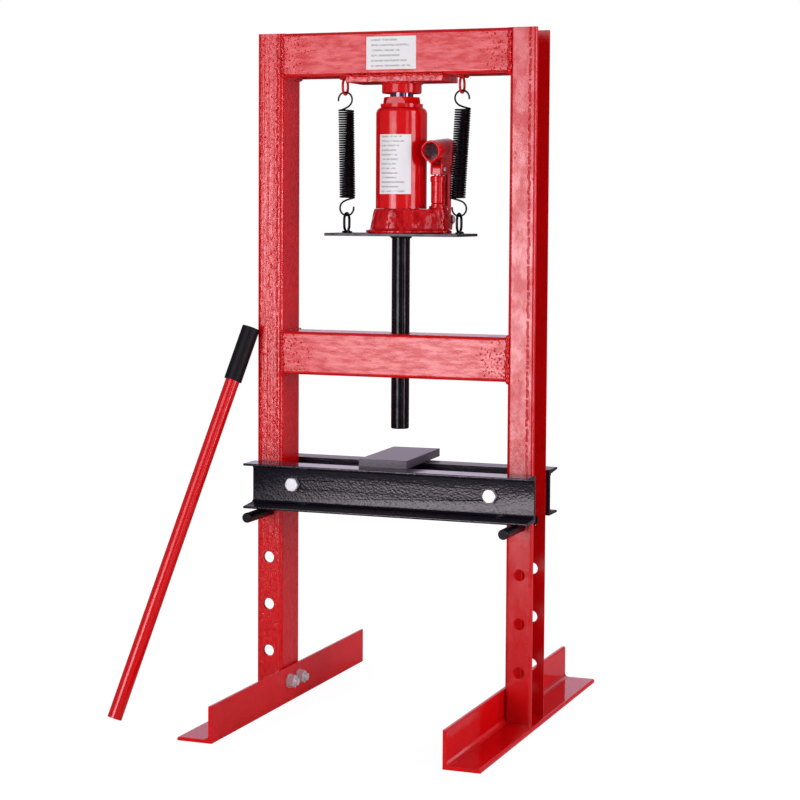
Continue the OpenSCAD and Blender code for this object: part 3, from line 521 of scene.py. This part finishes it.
def paperVinyl(name, s):
    # Self-adhesive vinyl, printed with plain grey bars in rows. The eye gets a pale satin sheet.
    material, tree, shader, place = newMaterial(name, s["roughness"], IOR=1.46)
    parts = addNode(tree, "ShaderNodeSeparateXYZ", {0: place}).outputs
    rows = maths(tree, "DIVIDE", parts["Z"], s["pitch"])
    middle = maths(tree, "SUBTRACT", maths(tree, "FRACT", rows), 0.5)
    ink = addRange(tree, maths(tree, "ABSOLUTE", middle), *s["barEdge"])
    length = addNode(tree, "ShaderNodeTexWhiteNoise", {
        "W": maths(tree, "FLOOR", rows)}, noise_dimensions="1D").outputs["Value"]
    reach = addRange(tree, length, 0, 1, s["shortest"], s["longest"])
    side = maths(tree, "SUBTRACT", parts["X"], s["left"])
    breaks = addNoise(tree, place, s["breakSize"], detail=1)
    for mask in (
            maths(tree, "LESS_THAN", side, reach), maths(tree, "GREATER_THAN", side, 0.0),
            addRange(tree, breaks, *s["breakBand"], *s["inkShare"])):
        ink = maths(tree, "MULTIPLY", ink, mask)
    tone = addNoise(tree, place, s["toneSize"])
    colour = addTint(tree, ink, addTint(tree, tone, s["dark"], s["colour"]), s["ink"])
    tree.links.new(colour, shader.inputs["Base Color"])
    return material


# barEdge is where a bar fades out and where it is full, in rows from the row's middle
vinylSettings = dict(
    colour="D9DEDB", dark="D0D5D2", ink="93958F", roughness=0.45, pitch=7 * mm,
    barEdge=(0.26, 0.1), breakSize=4 * mm, breakBand=(0.36, 0.5), inkShare=(0.15, 0.75),
    toneSize=25 * mm, left=-33 * mm, shortest=38 * mm, longest=60 * mm)
vinyl = paperVinyl("selfAdhesiveVinyl", vinylSettings)
jackVinyl = paperVinyl("selfAdhesiveVinylOnTank", dict(
    vinylSettings, pitch=6.2 * mm, left=-17 * mm, shortest=22 * mm, longest=34 * mm))

slotFinishes = {
    "red_paint": redMaterials["jack"], "red_casting": redMaterials["casting"],
    "hammer_paint": hammerPaint, "black_paint": blackEnamel, "spring_steel": springSteel,
    "zinc": zincPlate, "ground_steel": groundSteel, "plain_steel": plainSteel,
    "black_rubber": rubber, "label_vinyl": vinyl}
nodeFinishes = {
    "upright_left": redMaterials["upright"], "upright_right": redMaterials["smoothUpright"],
    "top_beam": redMaterials["beams"], "mid_beam": redMaterials["beams"],
    "thrust_plate": redMaterials["plate"], "ram_cap": redMaterials["jack"],
    "jack_top_nut": redMaterials["jack"], "jack_label": jackVinyl,
    "foot_left": redMaterials["feet"], "foot_right": redMaterials["feet"],
    "handle_socket": redMaterials["socket"], "bolster_rear": shadedPaint,
    "support_pin_left": plainSteel, "support_pin_right": plainSteel, "arbor_plate": arborPaint}
for nodeName, node in cad.items():
    for place in node.material_slots:
        place.material = nodeFinishes.get(nodeName) or slotFinishes[place.name]
print("materials done")


def finishPiece(mesh, name, material, body, slotName, *replaced):
    # turns a bmesh or a mesh into a smooth piece that moves with a body of the press
    if isinstance(mesh, bmesh.types.BMesh):
        data = bpy.data.meshes.new(name)
        mesh.to_mesh(data)
        mesh.free()
    else:
        data = mesh
        data.name = name
    data.shade_smooth()
    data.materials.clear()
    data.materials.append(material)
    piece = bpy.data.objects.new(name, data)
    scene.collection.objects.link(piece)
    if body:
        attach(piece, body)
    if replaced:
        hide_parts(*replaced)
    return piece


def meltTogether(mesh, cell, smooth):
    # one closed skin over overlapping shapes; returns a new mesh
    data = bpy.data.meshes.new("melt")
    if isinstance(mesh, bmesh.types.BMesh):
        mesh.to_mesh(data)
        mesh.free()
    else:
        data = mesh.copy()
    holder = bpy.data.objects.new("melt", data)
    scene.collection.objects.link(holder)
    weld = holder.modifiers.new("weld", "WELD")
    weld.merge_threshold = mergeGap
    skin = holder.modifiers.new("skin", "REMESH")
    skin.mode = "VOXEL"
    skin.voxel_size = cell
    skin.use_smooth_shade = True
    even = holder.modifiers.new("even", "SMOOTH")
    even.iterations = smooth
    bpy.context.view_layer.update()
    melted = bpy.data.meshes.new_from_object(
        holder.evaluated_get(bpy.context.evaluated_depsgraph_get()))
    bpy.data.objects.remove(holder)
    bpy.data.meshes.remove(data)
    return melted


# weld beads, laid as lumps along each seam and melted into one skin
weldSettings = dict(
    step=1.7 * mm, radius=2.7 * mm, jitter=1.0 * mm, spread=0.32, cell=0.7 * mm, smooth=3,
    belowTop=0.1 * mm)
# in mm: what the seams keep from a beam's sides, top and upper edge and from the plate's ends, how
# far they lie out from the cap and the rod, and how far they reach either side of a ring's foot
seamSettings = dict(
    side=2, top=3, under=0.8, plateEnd=1, capOut=0.3, rodOut=0.5, upperHalf=2.5, lowerHalf=2)


def layBead(mesh, s, path):
    for start, end in zip(path, path[1:]):
        start, end = Vector(start) * mm, Vector(end) * mm
        steps = max(1, round((end - start).length / s["step"]))
        for index in range(steps + 1):
            spot = start.lerp(end, index / steps)
            spot += Vector([chance.uniform(-1, 1) * s["jitter"] for _ in range(3)])
            size = s["radius"] * chance.uniform(1 - s["spread"], 1 + s["spread"])
            bmesh.ops.create_icosphere(
                mesh, subdivisions=2, radius=size, matrix=Matrix.Translation(spot))


def boxMm(node):
    low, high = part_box(node)
    return [v / mm for v in low], [v / mm for v in high]


def ringPath(z, radius, steps=24):
    # a ring round the middle of the press
    turns = [math.tau * i / steps for i in range(steps + 1)]
    return [(radius * math.cos(a), radius * math.sin(a), z) for a in turns]


def ringFeet(node, top, half):
    # a short seam across each foot of the spring rings, at the top or the bottom of their box
    low, high = boxMm(node)
    z = high[2] if top else low[2]
    return [[(x - half, y, z), (x + half, y, z)]
            for x in (low[0] + ringWire, high[0] - ringWire)
            for y in (low[1] + ringWire, high[1] - ringWire)]


def weldPiece(name, s, paths, material, body, slotName):
    mesh = bmesh.new()
    for path in paths:
        layBead(mesh, s, path)
    bead = meltTogether(mesh, s["cell"], s["smooth"])
    for vertex in bead.vertices:
        # a bead on the top beam is flat on top, so that none stands above the press
        vertex.co.z = min(vertex.co.z, cadBox[1][2] - s["belowTop"])
    finishPiece(bead, name, material, body, slotName)


def beamSeams(node, s):
    # all round each end of a beam, where it meets an upright
    low, high = boxMm(node)
    seams = []
    for x in (low[0], high[0]):
        for y in (low[1], high[1]):
            seams.append([(x, y, low[2] + s["side"]), (x, y, high[2] - s["top"])])
        for z in (low[2], high[2] - s["under"]):
            seams.append([(x, low[1] + s["side"], z), (x, high[1] - s["side"], z)])
    return seams


def plateSeams(node, s):
    # along the front and rear of a plate, at its top
    low, high = boxMm(node)
    return [[(low[0] + s["plateEnd"], y, high[2]), (high[0] - s["plateEnd"], y, high[2])]
            for y in (low[1], high[1])]


red = redMaterials["weld"]
seam = seamSettings
capPath = ringPath(boxMm("thrust_plate")[0][2], boxMm("ram_cap")[1][0] + seam["capOut"])
rodHigh = boxMm("press_rod")[1]
weldPieces = [
    ("top_beam_welds", {}, beamSeams("top_beam", seam), red, "frame", "red_paint"),
    ("mid_beam_welds", {}, beamSeams("mid_beam", seam), red, "frame", "red_paint"),
    ("thrust_plate_welds", dict(radius=1.9 * mm, step=1.9 * mm, cell=0.6 * mm),
     plateSeams("thrust_plate", seam), red, "frame", "red_paint"),
    ("ram_cap_weld", dict(radius=2.1 * mm), [capPath], red, "frame", "red_paint"),
    ("upper_ring_welds", dict(radius=3 * mm),
     ringFeet("upper_rings", True, seam["upperHalf"]), red, "frame", "red_paint"),
    ("lower_ring_welds", dict(radius=2.6 * mm),
     ringFeet("lower_rings", False, seam["lowerHalf"]), blackEnamel, "press_head", "black_paint"),
    ("rod_weld", dict(radius=2.2 * mm), [ringPath(rodHigh[2], rodHigh[0] + seam["rodOut"])],
     blackEnamel, "press_head", "black_paint"),
]
for name, changed, paths, material, body, slotName in weldPieces:
    weldPiece(name, dict(weldSettings, **changed), paths, material, body, slotName)
print("welds done")

# return springs wound from wire, with an open hook at each end, in mm and degrees
# shiftTop and shiftLow are how far to the right of its hook the coil lies at that end
springSettings = {
    "spring_left": dict(side=-1, shiftTop=1.2, shiftLow=1.2),
    "spring_right": dict(side=1, shiftTop=1.5, shiftLow=-3.0)}
wireSettings = dict(
    hookRadius=10.3, hookEdge=1.2, coilEnd=14.5, coilRadius=10.0, wire=1.3, turns=37.5,
    perTurn=22, hookFrom=-10, hookTo=232, hookSteps=20, blendSteps=10, pull=16)


def springPath(s, span, shiftTop, shiftLow):
    # centre line from the upper hook down to the lower one, with the upper hook at the origin
    def hermite(a, da, b, db, t):
        # a point on the curve that leaves a along da and reaches b along db
        return (a * (2 * t ** 3 - 3 * t ** 2 + 1) + da * (t ** 3 - 2 * t ** 2 + t)
                + b * (3 * t ** 2 - 2 * t ** 3) + db * (t ** 3 - t ** 2))

    def end(shift):
        turns = [math.radians(s["hookFrom"] + (s["hookTo"] - s["hookFrom"]) * i / s["hookSteps"])
                 for i in range(s["hookSteps"] + 1)]
        hook = [Vector((math.cos(a), 0, math.sin(a))) * s["hookRadius"] for a in turns]
        leaving = (hook[-1] - hook[-2]).normalized() * s["pull"]
        first = Vector((shift + s["coilRadius"], 0, -s["coilEnd"]))
        entering = Vector((0, s["pull"], -1))
        joined = [hermite(hook[-1], leaving, first, entering, (i + 1) / s["blendSteps"])
                  for i in range(s["blendSteps"] - 1)]
        return hook + joined

    upper = end(shiftTop)
    lower = [Vector((-p.x, p.y, -span - p.z)) for p in reversed(end(-shiftLow))]
    count = round(s["turns"] * s["perTurn"])
    coil = []
    for i in range(count + 1):
        share = i / count
        turn = math.tau * s["turns"] * share
        coil.append(Vector((
            shiftTop + (shiftLow - shiftTop) * share + s["coilRadius"] * math.cos(turn),
            s["coilRadius"] * math.sin(turn),
            -s["coilEnd"] - (span - 2 * s["coilEnd"]) * share)))
    return upper + coil + lower


def windSpring(name, s, facts):
    low, high = boxMm(name)
    ringTop, ringLow = boxMm("upper_rings"), boxMm("lower_rings")
    topX = facts["side"] * (ringTop[1][0] - ringWire)
    lowX = facts["side"] * (ringLow[1][0] - ringWire)
    ringY = (ringTop[0][1] + ringTop[1][1]) / 2
    reach = s["hookRadius"] + s["hookEdge"]
    top, bottom = high[2] - reach, low[2] + reach
    tilt = math.atan2(topX - lowX, top - bottom)
    span = math.hypot(topX - lowX, top - bottom)
    line = springPath(s, span, facts["side"] * facts["shiftTop"], facts["side"] * facts["shiftLow"])
    curve = bpy.data.curves.new(name, "CURVE")
    curve.dimensions = "3D"
    curve.bevel_depth = s["wire"] * mm
    curve.bevel_resolution = 2
    curve.use_fill_caps = True
    thread = curve.splines.new("POLY")
    thread.points.add(len(line) - 1)
    for point, spot in zip(thread.points, line):
        point.co = (spot.x * facts["side"] * mm, spot.y * facts["side"] * mm, spot.z * mm, 1)
    holder = bpy.data.objects.new(name, curve)
    scene.collection.objects.link(holder)
    bpy.context.view_layer.update()
    mesh = bpy.data.meshes.new_from_object(
        holder.evaluated_get(bpy.context.evaluated_depsgraph_get()))
    bpy.data.objects.remove(holder)
    hung = Matrix.Translation(Vector((topX, ringY, top)) * mm)
    mesh.transform(hung @ Matrix.Rotation(tilt, 4, "Y"))
    piece = finishPiece(mesh, f"{name}_wound", springSteel, None, "spring_steel", name)
    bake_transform(piece)


for springName, springFacts in springSettings.items():
    windSpring(springName, wireSettings, springFacts)
print("springs done")

# jack base and handle socket as castings: melted copies of the CAD shapes, sunk here and there
castSettings = {
    "jack_base": dict(
        cell=1.1 * mm, smooth=3, lumpSize=7 * mm, lumpDepth=0.7 * mm, finish="casting",
        body="press_head", slot="red_casting"),
    "handle_socket": dict(
        cell=0.7 * mm, smooth=5, lumpSize=9 * mm, lumpDepth=0.2 * mm, finish="socket",
        body="lever", slot="red_paint"),
}


def castPiece(node, s):
    mesh = meltTogether(cad[node].data, s["cell"], s["smooth"])
    inward = [-vertex.normal for vertex in mesh.vertices]
    for vertex, way in zip(mesh.vertices, inward):
        dip = 0.5 + 0.5 * noise.noise(vertex.co / s["lumpSize"])  # 0 to 1
        vertex.co += way * dip * s["lumpDepth"]
    finishPiece(mesh, f"{node}_cast", redMaterials[s["finish"]], s["body"], s["slot"], node)


for castName, castFacts in castSettings.items():
    castPiece(castName, castFacts)
print("castings done")

# rolled root radius inside each angle-iron foot, from a box whose free edge is cut back hollow
# thick is the iron's thickness, cut the share of the box that goes, and short the length left off
rootSettings = dict(thick=5, radius=5.5, cut=0.98, segments=6, profile=0.08, short=1)


def rollRoot(node, side, s):
    low, high = boxMm(node)
    size = s["radius"]
    across = min(abs(low[0]), abs(high[0])) + s["thick"] + size / 2
    up = s["thick"] + size / 2
    mesh = bmesh.new()
    centre = Vector((side * across, (low[1] + high[1]) / 2, up))
    scale = Matrix.Diagonal((size, high[1] - low[1] - s["short"], size, 1))
    bmesh.ops.create_cube(mesh, size=mm, matrix=Matrix.Translation(centre * mm) @ scale)
    outer = [edge for edge in mesh.edges if all(
        side * v.co.x > across * mm and v.co.z > up * mm for v in edge.verts)]
    bmesh.ops.bevel(
        mesh, geom=outer, offset=size * s["cut"] * mm, segments=s["segments"],
        profile=s["profile"], affect="EDGES", material=-1)
    bmesh.ops.recalc_face_normals(mesh, faces=mesh.faces[:])
    finishPiece(mesh, f"{node}_root", redMaterials["root"], "frame", "red_paint")


for node, side in (("foot_left", -1), ("foot_right", 1)):
    rollRoot(node, side, rootSettings)
print("roots done")

# threads on the ends of the bolts, each a ridge wound round the plain shank, in mm
# the ridge's base is sunk in the shank and wide either way in pitches, and tip is the length of
# each end where the radius is read, because the thinner end is the threaded one
threadSettings = dict(
    pitch=1.25, ridge=0.35, sunk=0.1, wide=0.4, length=13, chamfer=0.7, tip=3, perTurn=16)
boltNodes = {"foot_bolts": Vector((1, 0, 0)), "bolster_bolts": Vector((0, 1, 0))}


def looseParts(node):
    # the points of each separate solid in a node
    mesh = bmesh.new()
    mesh.from_mesh(cad[node].data)
    bmesh.ops.remove_doubles(mesh, verts=mesh.verts[:], dist=mergeGap)
    mirrorShade, parts = set(), []
    for first in mesh.verts:
        if first in mirrorShade:
            continue
        mirrorShade.add(first)
        reached = [first]
        for vertex in reached:
            for edge in vertex.link_edges:
                other = edge.other_vert(vertex)
                if other not in mirrorShade:
                    mirrorShade.add(other)
                    reached.append(other)
        parts.append([vertex.co / mm for vertex in reached])
    mesh.free()
    return parts


def windThread(mesh, points, axis, s):
    middle = Vector([(min(p[i] for p in points) + max(p[i] for p in points)) / 2 for i in range(3)])
    middle -= axis * middle.dot(axis)

    def reach(point):
        return (point - axis * point.dot(axis) - middle).length

    ends = [min(p.dot(axis) for p in points), max(p.dot(axis) for p in points)]
    radii = [max(reach(p) for p in points if abs(p.dot(axis) - end) < s["tip"]) for end in ends]
    tip = radii.index(min(radii))
    inward = 1 if tip == 0 else -1
    side = axis.orthogonal().normalized()
    start = middle + axis * (ends[tip] + inward * (s["chamfer"] + s["pitch"] / 2))
    profile = [start + side * (radii[tip] + out) + axis * (along * s["pitch"])
               for out, along in (
                   (-s["sunk"], -s["wide"]), (s["ridge"], 0), (-s["sunk"], s["wide"]))]
    verts = [mesh.verts.new(p * mm) for p in profile]
    edges = [mesh.edges.new(pair) for pair in zip(verts, verts[1:])]
    turns = (s["length"] - s["chamfer"]) / s["pitch"]
    steps = round(turns * s["perTurn"])
    bmesh.ops.spin(
        mesh, geom=verts + edges, cent=start * mm, axis=axis, angle=math.tau * turns,
        dvec=axis * (inward * s["pitch"] / s["perTurn"] * mm), steps=steps)


for boltNode, boltAxis in boltNodes.items():
    threads = bmesh.new()
    for points in looseParts(boltNode):
        windThread(threads, points, boltAxis, threadSettings)
    bmesh.ops.recalc_face_normals(threads, faces=threads.faces[:])
    finishPiece(threads, f"{boltNode}_thread", zincPlate, "frame", "zinc")
print("threads done")

# rounded edges on the sharp rolled and cut parts, by width in mm
edgeFacts = dict(segments=2, angle=50, weight=100)
edgeSettings = {
    1.2: ("upright_left", "upright_right", "foot_left", "foot_right"),
    1.6: ("top_beam", "mid_beam"),
    0.8: ("thrust_plate", "arbor_plate", "bolster_front", "bolster_rear"),
    0.4: ("carrier_plate",),
}
for width, names in edgeSettings.items():
    for nodeName in names:
        weld = cad[nodeName].modifiers.new("weld", "WELD")
        weld.merge_threshold = mergeGap
        rounding = cad[nodeName].modifiers.new("rounding", "BEVEL")
        rounding.width = width * mm
        rounding.segments = edgeFacts["segments"]
        rounding.limit_method = "ANGLE"
        rounding.angle_limit = math.radians(edgeFacts["angle"])
        shading = cad[nodeName].modifiers.new("shading", "WEIGHTED_NORMAL")
        shading.weight = edgeFacts["weight"]
print("edges done")
